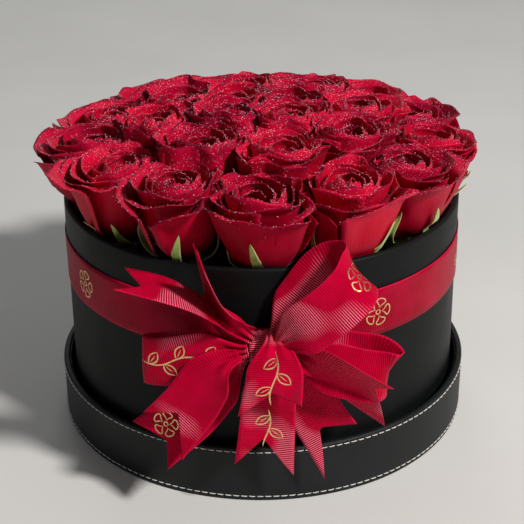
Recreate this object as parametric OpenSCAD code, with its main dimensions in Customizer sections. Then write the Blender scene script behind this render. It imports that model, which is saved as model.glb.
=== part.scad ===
// Round flower box: a leatherette hat box that stands in its own upturned lid,
// with a ribbon and bow round the drum and a dome of cut roses held in foam.
// Z is up, the origin is the centre of the lid's underside on the table,
// and the bow faces -Y.

/* [Drum] */
// Outer radius of the drum
drum_r = 125; // [115:1:140]
// Height of the drum's rim above the table
rim_z = 149.5; // [140:0.5:170]
// Depth to which the cover is turned in below the rim
turn_in = 18; // [10:1:24]

/* [Lid] */
// Gap between the drum and the inside of the lid
lid_gap = 3.9; // [2:0.1:6]
// Height of the lid, which stands upside down
lid_h = 36.5; // [28:0.5:45]
// Stitches in each row round the lid
stitch_count = 174; // [60:1:180]
// Height of the upper row of stitches
upper_row_z = 34.2; // [26:0.1:40]
// Height of the lower row of stitches
lower_row_z = 3.2; // [2.5:0.1:6]

/* [Layers] */
// Thickness of the greyboard walls and discs
board_t = 2.5; // [1.5:0.1:3]
// Thickness of the leatherette cover
cover_t = 0.8; // [0.5:0.1:1.2]
// Thickness of the paper lining
lining_t = 0.5; // [0.3:0.1:0.8]
// Clearance between parts that lift apart
lift_gap = 0.2; // [0.1:0.1:0.5]

/* [Ribbon] */
// Width of the ribbon
ribbon_w = 30; // [25:1:38]
// Thickness of the ribbon
ribbon_t = 0.8; // [0.5:0.1:1]
// Height of the middle of the band round the drum
band_z = 112.8; // [105:0.1:118]
// Radius of the bow's tied centre
knot_r = 9.5; // [8:0.5:11]
// Distance from the tied centre to the tips of the tails
tail_reach = 84; // [70:1:95]

/* [Insert] */
// Wall thickness of the plastic liner pot
pot_t = 0.8; // [0.6:0.1:1.2]
// Clearance round the pot inside the drum's turned-in rim
pot_gap = 0.9; // [0.5:0.1:2]
// Height of the pot's rim
pot_top_z = 115; // [108:1:122]
// Height of the top of the floral foam
foam_top_z = 119; // [112:1:126]

/* [Roses] */
// Largest radius of a bloom before its neighbours press it flat
bloom_r = 27; // [22:0.5:28]
// Height of a bloom
bloom_h = 52; // [44:1:56]
// Radius of a cut stem
stem_r = 2.6; // [2:0.1:3.2]
// Depth to which the stems are pushed into the foam
stem_grip = 55; // [30:1:70]
// Gap between blooms that press together
bloom_gap = 0.3; // [0.2:0.1:1]

/* [Hidden] */
$fn = 96;

leather = "#232627";
lining_grey = "#3a3a3c";
board_grey = "#8d8a84";
ribbon_red = "#c40f34";
petal_red = "#a3081f";

// Lid layers, from the outside in
lid_in_r = drum_r + lid_gap;
lid_board_in_r = lid_in_r + cover_t;
lid_board_r = lid_board_in_r + board_t;
lid_r = lid_board_r + cover_t;
lid_floor_z = cover_t + board_t + lining_t;
lid_turn_in_z = lid_h - 14;

// Drum layers, from the outside in
drum_z = lid_floor_z + 0.1;
drum_board_r = drum_r - cover_t;
drum_board_in_r = drum_board_r - board_t;
drum_in_r = drum_board_in_r - cover_t;
drum_board_z = drum_z + cover_t;
drum_floor_z = drum_board_z + board_t + lining_t;
drum_turn_in_z = rim_z - turn_in;

// Stitches lie on the cover, just clear of it
stitch_r = 0.4;
stitch_len = 3.4;
stitch_clear = 0.06;

// Ribbon band and the point at which the bow is tied
band_in_r = drum_r + 0.1;
band_r = band_in_r + ribbon_t;
knot_x = 2;
knot_y = -(band_r + knot_r + 0.4);
knot_z = 107;
knot_w = 20;

// Distance from the knot's middle at which ribbon leaves it, and its width there;
// distance over which it opens to full width; depth of a swallowtail's cut
root = 8;
root_w = 7;
spread = 30;
notch = 18;

// Pot, foam and stems
pot_r = drum_in_r - pot_gap;
pot_z = drum_floor_z + lift_gap;
pot_in_r = pot_r - pot_t;
foam_r = pot_in_r - 0.4;
foam_z = pot_z + pot_t;
calyx_h = 10;
calyx_r = 7.5;

// Rings of roses from the outside in: how many, radius of the ring at the mouth,
// height of the mouth at the front, lean away from the middle, and angle of the first rose
RINGS = [
    [13, 103, 190, 5, -90],
    [8, 63, 202, 3, -80],
    [4, 25, 207, 2, -50]
];
// The crown stands lower toward the back by this share of the distance from its front
crown_fall = 0.036;
function mouth_z(ring, a) = ring[2] - crown_fall * (RINGS[0][1] + ring[1] * sin(a));
ROSES = [for (ring = RINGS) for (i = [0:ring[0] - 1])
    let (a = ring[4] + 360 * i / ring[0])
    [ring[1], mouth_z(ring, a), ring[3], a]];

// Middle of a bloom, a little below its mouth
press_depth = 16;
function bloom_middle(rose) =
    let (out = rose[0] - press_depth * sin(rose[2]))
    [out * cos(rose[3]), out * sin(rose[3]), rose[1] - press_depth * cos(rose[2])];

// Side of a bloom, from its base to its mouth, as a fraction of the largest radius
function bloom_swell(s) = 0.30 + 0.70 * sin(90 * min(1, s * 1.12)) - 0.10 * max(0, s - 0.74);

// ---- Building blocks ----

module tube(outer, inner, z0, z1) {
    translate([0, 0, z0])
        linear_extrude(z1 - z0)
            difference() {
                circle(outer);
                circle(inner);
            }
}

module disc(r, z0, z1) {
    translate([0, 0, z0]) cylinder(r = r, h = z1 - z0);
}

// Cover that wraps a wall outside, over its rim and down the inside
module wrapped_cover(outer, inner, z0, rim, turn_z) {
    rotate_extrude()
        difference() {
            translate([inner, z0]) square([outer - inner, rim - z0]);
            translate([inner + cover_t, z0 - 1])
                square([outer - inner - 2 * cover_t, rim - cover_t - z0 + 1]);
            translate([inner - 1, z0 - 1]) square([cover_t + 1.001, turn_z - z0 + 1]);
        }
}

// Lining of a floor and the wall above it, up to the turned-in cover
module pan_lining(r, floor_z, top_z) {
    rotate_extrude()
        union() {
            translate([0, floor_z - lining_t]) square([r, lining_t]);
            translate([r - lining_t, floor_z - lining_t])
                square([lining_t, top_z - floor_z + lining_t]);
        }
}

module stitch_row(r, z) {
    for (i = [0:stitch_count - 1])
        rotate([0, 0, 360 * i / stitch_count])
            translate([r, stitch_len / 2, z])
                rotate([90, 0, 0])
                    cylinder(r = stitch_r, h = stitch_len, $fn = 16);
}

// Puts a rose's parts in place: the mouth is at z = 0 and the stem runs down
module at_rose(rose) {
    rotate([0, 0, rose[3]])
        translate([rose[0], 0, rose[1]])
            rotate([0, rose[2], 0])
                children();
}

// ---- Lid, which the drum stands in ----

module lid_panel_cover() {
    color(leather) disc(lid_board_r, 0, cover_t);
}

module lid_panel_board() {
    color(board_grey) disc(lid_board_r, cover_t, cover_t + board_t);
}

module lid_wall_board() {
    color(board_grey)
        tube(lid_board_r, lid_board_in_r, cover_t + board_t, lid_h - cover_t);
}

module lid_side_cover() {
    color(leather) wrapped_cover(lid_r, lid_in_r, 0, lid_h, lid_turn_in_z);
}

module lid_lining() {
    color(lining_grey) pan_lining(lid_board_in_r, lid_floor_z, lid_turn_in_z);
}

module lid_upper_stitches() {
    color("white") stitch_row(lid_r + stitch_r + stitch_clear, upper_row_z);
}

module lid_lower_stitches() {
    color("white") stitch_row(lid_r + stitch_r + stitch_clear, lower_row_z);
}

module lid_inner_stitches() {
    color("dimgray") stitch_row(lid_in_r - stitch_r - stitch_clear, upper_row_z);
}

// ---- Drum ----

module drum_base_cover() {
    color(leather) disc(drum_board_r, drum_z, drum_board_z);
}

module drum_base_board() {
    color(board_grey) disc(drum_board_in_r, drum_board_z, drum_board_z + board_t);
}

module drum_wall_board() {
    color(board_grey)
        tube(drum_board_r, drum_board_in_r, drum_board_z, rim_z - cover_t);
}

module drum_side_cover() {
    color(leather) wrapped_cover(drum_r, drum_in_r, drum_z, rim_z, drum_turn_in_z);
}

module drum_lining() {
    color(lining_grey) pan_lining(drum_board_in_r, drum_floor_z, drum_turn_in_z);
}

// ---- Ribbon and bow ----

module ribbon_band() {
    color(ribbon_red)
        tube(band_r, band_in_r, band_z - ribbon_w / 2, band_z + ribbon_w / 2);
}

// Short wrap of ribbon round the gathered middle of the bow
module bow_knot() {
    color(ribbon_red)
        translate([knot_x, knot_y, knot_z])
            rotate([0, 90, 0])
                cylinder(r = knot_r, h = knot_w, center = true);
}

// Drop-shaped outline with its point at the origin and its round end at x = reach
module drop(reach, belly) {
    middle = reach - belly;
    slope = asin(belly / middle);
    steps = 24;
    polygon(concat([[0, 0]], [for (k = [0:steps])
        let (turn = (90 + slope) * (2 * k / steps - 1))
        [middle + belly * cos(turn), belly * sin(turn)]]));
}

// Loop of ribbon seen along its width: a drop with a smaller drop cut out of it
module loop_outline(reach, belly) {
    nip = ribbon_t * (reach - belly) / belly;
    difference() {
        drop(reach, belly);
        translate([nip, 0]) drop(reach - nip - ribbon_t, belly - ribbon_t);
    }
}

// Ribbon seen flat: gathered at the knot and full width beyond the spread
module gathered(reach) {
    half = ribbon_w / 2;
    polygon([
        [0, -root_w / 2], [spread, -half], [reach, -half],
        [reach, half], [spread, half], [0, root_w / 2]
    ]);
}

// Leaves the knot at the angle aim above +X, leaning forward and rolled about its length
module from_knot(aim, lean, roll, depth) {
    translate([knot_x, knot_y - depth, knot_z])
        rotate([0, -aim, 0])
            rotate([0, 0, -lean])
                rotate([roll, 0, 0])
                    children();
}

module bow_loop(aim, lean, roll, depth, reach, belly) {
    color(ribbon_red)
        from_knot(aim, lean, roll, depth)
            translate([root, 0, 0])
                intersection() {
                    linear_extrude(ribbon_w, center = true) loop_outline(reach, belly);
                    rotate([90, 0, 0])
                        linear_extrude(4 * belly, center = true) gathered(reach + 1);
                }
}

// Tail of ribbon, cut to a swallowtail at its end
module bow_tail(aim, lean, roll, depth, start, reach) {
    color(ribbon_red)
        from_knot(aim, lean, 90 + roll, depth)
            translate([start, 0, 0])
                linear_extrude(ribbon_t, center = true)
                    difference() {
                        gathered(reach - start);
                        polygon([
                            [reach - start - notch, 0],
                            [reach - start + 1, ribbon_w / 2 * (1 + 1 / notch)],
                            [reach - start + 1, -ribbon_w / 2 * (1 + 1 / notch)]
                        ]);
                    }
}

module bow_loop_upper() { bow_loop(52, 4, 12, 6, 67, 15); }
module bow_loop_right() { bow_loop(-6, 2, -14, 1, 62, 9); }
module bow_loop_left() { bow_loop(182, 0, 0, -1, 64, 6); }

module bow_tail_high_left() { bow_tail(148, 2, 66, 4, root, tail_reach * 1.06); }
module bow_tail_upright() { bow_tail(121, 0, 80, 3, root, tail_reach * 0.86); }
module bow_tail_low_left() { bow_tail(219, 8, -8, 6, root, tail_reach * 1.02); }
module bow_tail_low_left_under() { bow_tail(222, 5, -8, 3.5, root, tail_reach * 1.05); }
module bow_tail_centre() { bow_tail(269, 18, 0, knot_r + ribbon_t, 0, tail_reach * 0.52); }
module bow_tail_centre_under() { bow_tail(268, 4, 0, 0, root, tail_reach * 0.9); }
module bow_tail_low_right() { bow_tail(301, 3, 4, 4, root, tail_reach * 1.02); }
module bow_tail_right() { bow_tail(337, 8, 8, 8, root, tail_reach * 0.93); }

// ---- Insert: pot, foam and roses, which lift out together ----

module liner_pot() {
    color("#2d5a3a", 0.9)
        difference() {
            disc(pot_r, pot_z, pot_top_z);
            disc(pot_in_r, foam_z, pot_top_z + 1);
        }
}

module floral_foam() {
    color("#3f7f4e")
        difference() {
            disc(foam_r, foam_z, foam_top_z);
            stem_rods();
        }
}

// Length of a stem below its mouth, to the stated depth in the foam
function stem_end(rose) = (rose[1] - foam_top_z + stem_grip) / cos(rose[2]);

module stem_rods() {
    for (rose = ROSES)
        at_rose(rose)
            translate([0, 0, -stem_end(rose)])
                cylinder(r = stem_r, h = stem_end(rose) - bloom_h - calyx_h, $fn = 24);
}

module rose_stems() {
    color("#4c7a2e") stem_rods();
}

// Green cup under each bloom
module rose_calyxes() {
    color("#5f9138")
        for (rose = ROSES)
            at_rose(rose)
                translate([0, 0, -bloom_h - calyx_h])
                    rotate_extrude($fn = 32)
                        polygon([
                            [0, 0], [stem_r, 0], [stem_r + 2, calyx_h * 0.3],
                            [calyx_r - 0.8, calyx_h * 0.7], [calyx_r, calyx_h], [0, calyx_h]
                        ]);
}

// Half-space that starts on the plane midway between two blooms
module far_side(near, far) {
    step = far - near;
    span = norm(step);
    size = 4 * bloom_r;
    translate(near + step / 2)
        rotate([0, acos(step[2] / span), atan2(step[1], step[0])])
            translate([-size / 2, -size / 2, -bloom_gap / 2])
                cube(size);
}

// Bloom as a closed goblet, flat where it presses on its neighbours
module bloom(i) {
    rose = ROSES[i];
    here = bloom_middle(rose);
    steps = 8;
    color(petal_red)
        difference() {
            at_rose(rose)
                rotate_extrude($fn = 48)
                    polygon(concat(
                        [[0, -bloom_h]],
                        [for (k = [0:steps])
                            [bloom_r * bloom_swell(k / steps), bloom_h * (k / steps - 1)]],
                        [[bloom_r * 0.6, 3], [0, 4]]
                    ));
            for (j = [0:len(ROSES) - 1])
                if (j != i && norm(bloom_middle(ROSES[j]) - here) < 2.05 * bloom_r)
                    far_side(here, bloom_middle(ROSES[j]));
        }
}

// ---- Output ----

lid_panel_cover();
lid_panel_board();
lid_wall_board();
lid_side_cover();
lid_lining();
lid_upper_stitches();
lid_lower_stitches();
lid_inner_stitches();
drum_base_cover();
drum_base_board();
drum_wall_board();
drum_side_cover();
drum_lining();
ribbon_band();
bow_knot();
bow_loop_upper();
bow_loop_right();
bow_loop_left();
bow_tail_high_left();
bow_tail_upright();
bow_tail_low_left();
bow_tail_low_left_under();
bow_tail_centre();
bow_tail_centre_under();
bow_tail_low_right();
bow_tail_right();
liner_pot();
floral_foam();
rose_stems();
rose_calyxes();
bloom(0);  // rose_01
bloom(1);  // rose_02
bloom(2);  // rose_03
bloom(3);  // rose_04
bloom(4);  // rose_05
bloom(5);  // rose_06
bloom(6);  // rose_07
bloom(7);  // rose_08
bloom(8);  // rose_09
bloom(9);  // rose_10
bloom(10);  // rose_11
bloom(11);  // rose_12
bloom(12);  // rose_13
bloom(13);  // rose_14
bloom(14);  // rose_15
bloom(15);  // rose_16
bloom(16);  // rose_17
bloom(17);  // rose_18
bloom(18);  // rose_19
bloom(19);  // rose_20
bloom(20);  // rose_21
bloom(21);  // rose_22
bloom(22);  // rose_23
bloom(23);  // rose_24
bloom(24);  // rose_25
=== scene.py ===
"""Looks of the round flower box: leatherette, ribbon, bow, roses and studio.

Everything is in metres in the frame's own axes: Z up, the bow faces -Y, and the lid rests on Z = 0.
"""

import math

import bpy
import numpy as np
from mathutils import Matrix, Vector
from mathutils.bvhtree import BVHTree


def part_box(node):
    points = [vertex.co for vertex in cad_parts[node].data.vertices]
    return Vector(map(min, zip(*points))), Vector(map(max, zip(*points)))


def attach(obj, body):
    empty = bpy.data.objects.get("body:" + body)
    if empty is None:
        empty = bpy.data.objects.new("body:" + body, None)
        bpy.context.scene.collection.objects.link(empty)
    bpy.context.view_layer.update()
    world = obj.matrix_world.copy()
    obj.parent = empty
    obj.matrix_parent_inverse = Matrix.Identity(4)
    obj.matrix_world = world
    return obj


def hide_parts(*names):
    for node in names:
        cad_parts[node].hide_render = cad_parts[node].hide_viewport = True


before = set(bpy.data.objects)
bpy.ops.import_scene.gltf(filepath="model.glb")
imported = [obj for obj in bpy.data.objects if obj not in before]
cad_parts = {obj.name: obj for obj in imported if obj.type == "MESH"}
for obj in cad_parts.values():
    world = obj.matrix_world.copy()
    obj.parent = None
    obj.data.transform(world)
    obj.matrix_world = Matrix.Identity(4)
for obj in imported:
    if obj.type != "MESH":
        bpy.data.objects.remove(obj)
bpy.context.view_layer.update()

MM = 0.001
TURN = 2 * math.pi

# ---- Sizes read from the frame ----


def middle_of(node):
    low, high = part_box(node)
    return (low + high) / 2


def round_size(node):
    """Radius, foot and top of a round node."""
    low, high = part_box(node)
    return high.x, low.z, high.z


DRUM_R, DRUM_FOOT_Z, RIM_Z = round_size("drum_side_cover")
LID_R, _, LID_H = round_size("lid_side_cover")
BAND_R, BAND_FOOT_Z, BAND_TOP_Z = round_size("ribbon_band")
RIBBON_W = BAND_TOP_Z - BAND_FOOT_Z
BAND_Z = (BAND_TOP_Z + BAND_FOOT_Z) / 2
KNOT = middle_of("bow_knot")
UPPER_ROW_Z = middle_of("lid_upper_stitches").z
LOWER_ROW_Z = middle_of("lid_lower_stitches").z

# Wall layers, as in the design
COVER_T = 0.8 * MM
WALL_T = 4.1 * MM
DRUM_TURN_IN = 18 * MM
LID_TURN_IN = 14 * MM
STITCH_COUNT = 174

# Rings of roses from the outside in, as in the design: how many, radius and height of the mouths at
# the front, lean in degrees, angle of the first rose in degrees
RINGS = [
    (13, 103 * MM, 190 * MM, 5, -90),
    (8, 63 * MM, 202 * MM, 3, -80),
    (4, 25 * MM, 207 * MM, 2, -50),
]
# The crown stands lower toward the back by this share of the distance from its front
CROWN_FALL = 0.036
BLOOM_H = 52 * MM
CALYX_H = 10 * MM
# How far the lips reach from the box's middle on its left and right
WIDEST_LEFT = 147 * MM
WIDEST_RIGHT = 135 * MM


# ---- Mesh building ----


class Builder:
    """Collects quads with a UV at each point, and makes one mesh object of them."""

    def __init__(self):
        self.points, self.quads, self.uvs = [], [], []
        self.count = 0

    def add(self, points, quads, uvs):
        self.points.append(np.asarray(points, float).reshape(-1, 3))
        self.quads.append(np.asarray(quads, int).reshape(-1, 4) + self.count)
        self.uvs.append(np.asarray(uvs, float).reshape(-1, 2))
        self.count += len(self.points[-1])

    def add_shell(self, grid, uv, thick):
        """A closed thin shell round a grid of points, thick metres through."""
        nu, nv = grid.shape[:2]
        off = grid_normals(grid) * (thick / 2)
        points = np.concatenate([(grid + off).reshape(-1, 3), (grid - off).reshape(-1, 3)])
        index = np.arange(nu * nv).reshape(nu, nv)
        front = quads_of(index)
        back = quads_of(index + nu * nv)[:, ::-1]
        ring = np.concatenate([index[:, 0], index[-1, 1:], index[-2::-1, -1], index[0, -2:0:-1]])
        after = np.roll(ring, -1)
        rim = np.stack([after, ring, ring + nu * nv, after + nu * nv], axis=1)
        self.add(points, np.concatenate([front, back, rim]), np.concatenate([uv.reshape(-1, 2)] * 2))

    def add_grid(self, grid, uv, wrap_u=False, wrap_v=False):
        """An open grid of quads, or one closed along either direction."""
        nu, nv = grid.shape[:2]
        index = np.arange(nu * nv).reshape(nu, nv)
        index = np.pad(index, ((0, int(wrap_u)), (0, int(wrap_v))), mode="wrap")
        self.add(grid, quads_of(index), uv)

    def build(self, name, material, body=None, node=None, slot=None, smooth=True):
        """The piece, with the body it rides on and the CAD node it replaces (None for an extra); slot is not
        used.
        """
        quads = np.concatenate(self.quads)
        uvs = np.concatenate(self.uvs)
        mesh = bpy.data.meshes.new(name)
        mesh.from_pydata(np.concatenate(self.points), [], quads, shade_flat=not smooth)
        layer = mesh.uv_layers.new(name="UVMap")
        layer.data.foreach_set("uv", uvs[quads.ravel()].astype(np.float32).ravel())
        mesh.validate()
        mesh.materials.append(material)
        piece = placed(name, mesh)
        if body:
            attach(piece, body)
        if node:
            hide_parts(node)
        return piece


def placed(name, data):
    """A new object in the scene."""
    piece = bpy.data.objects.new(name, data)
    bpy.context.scene.collection.objects.link(piece)
    return piece


def given(thing, **values):
    """The thing, with these attributes."""
    for key, value in values.items():
        setattr(thing, key, value)
    return thing


def quads_of(index):
    corners = [index[:-1, :-1], index[1:, :-1], index[1:, 1:], index[:-1, 1:]]
    return np.stack(corners, axis=-1).reshape(-1, 4)


def joined(*parts):
    """Arrays that broadcast together, stacked as the coordinates of points."""
    return np.stack(np.broadcast_arrays(*parts), axis=-1)


def polar(r, angle):
    return r * np.cos(angle), r * np.sin(angle)


def unit(v):
    return v / np.maximum(np.linalg.norm(v, axis=-1, keepdims=True), 1e-12)


def grid_normals(grid):
    return unit(np.cross(np.gradient(grid, axis=0), np.gradient(grid, axis=1)))


def run_along(line):
    """How far along a line of points each of them lies."""
    return np.concatenate([[0], np.cumsum(np.linalg.norm(np.diff(line, axis=0), axis=1))])


def spline(keys, at):
    """Smooth curve through rows of keys, at places from 0 to 1 along it (and a little past the end)."""
    keys = np.asarray(keys, float)
    last = len(keys) - 1
    x = np.asarray(at, float) * last
    i = np.clip(np.floor(x).astype(int), 0, last - 1)
    f = (x - i)[..., None]
    before, here = keys[np.maximum(i - 1, 0)], keys[i]
    there, beyond = keys[i + 1], keys[np.minimum(i + 2, last)]
    before = np.where((i == 0)[..., None], 2 * here - there, before)
    beyond = np.where((i == last - 1)[..., None], 2 * there - here, beyond)
    smooth = 0.5 * (2 * here + (there - before) * f
                    + (2 * before - 5 * here + 4 * there - beyond) * f * f
                    + (3 * here - before - 3 * there + beyond) * f ** 3)
    straight = there + (there - here) * (f - 1)
    return np.where(f > 1, straight, smooth)


def smoothstep(x):
    x = np.clip(x, 0, 1)
    return x * x * (3 - 2 * x)


def lathe(profile, around, wobble=None):
    """A closed profile of (radius, height) points turned about Z, and its UVs in metres."""
    profile = np.asarray(profile, float)
    angle = np.linspace(0, TURN, around, endpoint=False)[:, None]
    r, z = profile[None, :, 0], profile[None, :, 1]
    if wobble is not None:
        r = r + wobble(angle, z)
    return joined(*polar(r, angle), z), joined(angle * profile[:, 0].max(), run_along(profile)[None, :])


def turned(grid, uv, *about):
    """A piece made of one grid that closes both ways."""
    made = Builder()
    made.add_grid(grid, uv, wrap_u=True, wrap_v=True)
    made.build(*about)


def arc_points(centre, radius, start, end, steps=6):
    """Points of an arc in a plane, from start to end degrees."""
    x, y = polar(radius, np.radians(np.linspace(start, end, steps)))
    return joined(centre[0] + x, centre[1] + y)


# ---- Materials ----


class Look:
    """A node material round one Principled shader."""

    def __init__(self, name, **constants):
        self.material = bpy.data.materials.new(name)
        self.material.use_nodes = True
        self.tree = self.material.node_tree
        self.shader = self.tree.nodes["Principled BSDF"]
        for socket, value in constants.items():
            self.shader.inputs[socket.replace("_", " ")].default_value = value

    def node(self, kind, inputs=None, **settings):
        made = given(self.tree.nodes.new(kind), **settings)
        for key, value in (inputs or {}).items():
            self.put(made.inputs[key], value)
        return made

    def put(self, socket, value):
        if isinstance(value, bpy.types.NodeSocket):
            self.tree.links.new(value, socket)
        else:
            socket.default_value = value

    def finished(self, colour, normal=None, roughness=None):
        """The material, with these three sockets set."""
        for socket, value in (("Base Color", colour), ("Normal", normal), ("Roughness", roughness)):
            if value is not None:
                self.put(self.shader.inputs[socket], value)
        return self.material

    def coordinates(self, which="Object"):
        return self.node("ShaderNodeTexCoord").outputs[which]

    def axes(self, which="UV"):
        return self.node("ShaderNodeSeparateXYZ", {"Vector": self.coordinates(which)}).outputs

    def stretched(self, which, scale):
        return self.node("ShaderNodeMapping", {"Vector": self.coordinates(which), "Scale": scale}).outputs[0]

    def math(self, operation, a, b=0.0):
        made = self.node("ShaderNodeMath", operation=operation)
        for socket, value in zip(made.inputs, (a, b)):
            self.put(socket, value)
        return made.outputs[0]

    def times(self, a, b):
        return self.math("MULTIPLY", a, b)

    def nudged(self, value, noise, amount):
        """A value that noise moves to either side."""
        return self.math("ADD", value, self.times(self.math("SUBTRACT", noise, 0.5), amount))

    def off_middle(self, across):
        return self.math("ABSOLUTE", self.math("SUBTRACT", across, 0.5))

    def wave(self, phase):
        """A sine that runs between 0 and 1."""
        return self.map_range(self.math("SINE", phase), -1, 1)

    def noise(self, scale, detail=2.0, roughness=0.5, distortion=0.0, where=None):
        inputs = {"Scale": scale, "Detail": detail, "Roughness": roughness, "Distortion": distortion}
        inputs["Vector"] = self.coordinates() if where is None else where
        return self.node("ShaderNodeTexNoise", inputs).outputs["Fac"]

    def cells(self, scale):
        inputs = {"Vector": self.coordinates(), "Scale": scale}
        return self.node("ShaderNodeTexVoronoi", inputs).outputs["Distance"]

    def ramp(self, value, *stops):
        made = self.node("ShaderNodeValToRGB", {"Fac": value})
        band = made.color_ramp
        while len(band.elements) < len(stops):
            band.elements.new(0.5)
        for element, (place, colour) in zip(band.elements, stops):
            element.position = place
            element.color = (*colour, 1)
        return made.outputs["Color"]

    def mix(self, share, a, b):
        made = self.node("ShaderNodeMix", data_type="RGBA")
        # Sockets 0, 6, 7: the share and two colours; output 2: the mixed colour
        for socket, value in zip((0, 6, 7), (share, a, b)):
            self.put(made.inputs[socket], (*value, 1) if isinstance(value, tuple) else value)
        return made.outputs[2]

    def map_range(self, value, low, high, to_low=0.0, to_high=1.0):
        inputs = {"Value": value, "From Min": low, "From Max": high, "To Min": to_low, "To Max": to_high}
        return self.node("ShaderNodeMapRange", inputs).outputs["Result"]

    def bump(self, height, distance, strength=1.0, under=None):
        inputs = {"Height": height, "Distance": distance, "Strength": strength}
        if under is not None:
            inputs["Normal"] = under
        return self.node("ShaderNodeBump", inputs).outputs["Normal"]


# Dark and light tones that noise mixes
LEATHER_TONES = ((0.0045, 0.0055, 0.0057), (0.0090, 0.0105, 0.0108))
RIBBON_TONES = ((0.42, 0.0004, 0.020), (0.60, 0.0009, 0.038))
# Ribs and yarns in one width of the ribbon
RIBS = 23
YARNS = 60
# Heights where the glitter in the petals' look begins and is full
GLITTER_Z = (178 * MM, 196 * MM)


def deepened(tones, depth):
    return [tuple(depth * part for part in tone) for tone in tones]


def leatherette(name, shine, depth):
    """Charcoal leatherette with a fine pebbled grain and a faint broad mottling of tone and gloss."""
    look = Look(name, Specular_IOR_Level=shine)
    broad = look.noise(22, 3, 0.6)
    # depth scales both tones; the drum's and lid's copies use it for painted shade and painted bounce light.
    colour = look.mix(look.map_range(broad, 0.3, 0.75), *deepened(LEATHER_TONES, depth))
    pebbles = look.bump(look.cells(1050), 0.00022, 0.55)
    grain = look.bump(look.noise(2600, 3), 0.00010, 0.35, pebbles)
    return look.finished(colour, grain, look.map_range(broad, 0.25, 0.75, 0.42, 0.58))


def mottled(name, dark, light, grain, stops=(0.3, 0.7), gloss=None, relief=None, scale=(1, 1, 1), **others):
    """A look in two tones by noise, which can also give the roughness and the relief."""
    look = Look(name, **others)
    tone = look.noise(*grain, where=look.stretched("Object", scale))
    colour = look.ramp(tone, (stops[0], dark), (stops[1], light))
    normal = look.bump(tone, *relief) if relief else None
    return look.finished(colour, normal, look.map_range(tone, 0.3, 0.7, *gloss) if gloss else None)


def thread(name, dark, light):
    """Twisted sewing thread: the UV runs along and round each stitch."""
    look = Look(name, Roughness=0.62, Sheen_Weight=0.2)
    along, around, _ = look.axes()
    lay = look.wave(look.math("ADD", look.times(along, 38.0), look.times(around, TURN * 2)))
    # The colour darkens in the grooves of the twist: painted shade.
    return look.finished(look.mix(lay, dark, light), look.bump(lay, 0.00012, 0.7))


def grosgrain(name, painted_highlight_strength, relief, depth):
    """Red satin-faced grosgrain (UV in ribbon widths): crosswise ribs, with a painted pink highlight on their
    crests in patches and painted shade in their furrows.
    """
    look = Look(name, Specular_IOR_Level=0.14, Specular_Tint=(1.0, 0.05, 0.20, 1))
    across, along, _ = look.axes()
    rib = look.wave(look.times(along, TURN * RIBS))
    yarn = look.wave(look.times(across, TURN * YARNS))
    # depth scales the tones; the band's copy uses it for painted shade.
    ground = look.mix(look.map_range(look.noise(60), 0.3, 0.7), *deepened(RIBBON_TONES, depth))
    # Painted shade: the furrows between the ribs are darkened in the colour.
    rib_valley_shade = look.mix(look.map_range(rib, 0.0, 0.6, 0.14, 0.0), ground, (0.16, 0.0006, 0.010))
    # Painted highlight: pale pink glints on the rib crests, in noise patches, mixed into the colour.
    patch = look.map_range(look.noise(24, 1, 0.4), 0.53, 0.60)
    painted_highlight = look.times(look.map_range(rib, 0.66, 0.94, 0.0, painted_highlight_strength), patch)
    crest = look.mix(painted_highlight, rib_valley_shade, (1.0, 0.32, 0.44))
    selvage = look.map_range(look.off_middle(across), 0.465, 0.485, 0.0, 0.45)
    weave = look.bump(yarn, 0.00006, 0.3, look.bump(rib, relief))
    return look.finished(look.mix(selvage, crest, (0.70, 0.010, 0.070)), weave,
                         look.map_range(rib, 0, 1, 0.50, 0.38))


def petal(name, heart, body, lip):
    """Velvet petal. V of the UV runs from foot to lip; U counts petals, with its fraction across one."""
    look = Look(name, Sheen_Weight=0.04, Sheen_Roughness=0.4, Sheen_Tint=(1.0, 0.10, 0.20, 1),
                Specular_IOR_Level=0.20, Specular_Tint=(1.0, 0.30, 0.40, 1))
    up = look.axes()[1]
    blotch = look.noise(75, 3, 0.6)
    vein = look.noise(1.0, 4, 0.6, 0.4, look.stretched("UV", (60.0, 3.0, 1.0)))
    # The colour runs from a dark foot, painted shade deep in the bloom, to a lighter lip, painted light on
    # the lips.
    colour = look.ramp(look.nudged(up, blotch, 0.35), (0.05, heart), (0.62, body), (0.97, lip))
    colour = look.mix(look.map_range(vein, 0.45, 0.75, 0.0, 0.35), colour, heart)
    # The very edge of the lip is dry and dark in places
    edge = look.map_range(look.nudged(up, vein, 0.10), 0.955, 0.985, 0.0, 0.8)
    dry = look.times(edge, look.map_range(blotch, 0.42, 0.56))
    colour = look.mix(dry, colour, (0.055, 0.002, 0.014))
    # Fine glitter lies on the upper parts only
    speck = look.math("LESS_THAN", look.cells(700), 0.20)
    patch = look.map_range(look.noise(45), 0.34, 0.58)
    high = look.times(look.map_range(look.axes("Object")[2], *GLITTER_Z), patch)
    dust = look.times(speck, look.times(high, 0.8))
    dull = look.map_range(blotch, 0.3, 0.7, 0.42, 0.58)
    relief = look.bump(look.math("ADD", vein, look.times(blotch, 0.6)), 0.0004, 0.5)
    return look.finished(look.mix(dust, colour, (1.0, 0.52, 0.58)), relief,
                         look.math("SUBTRACT", dull, look.times(dust, 0.25)))


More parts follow.
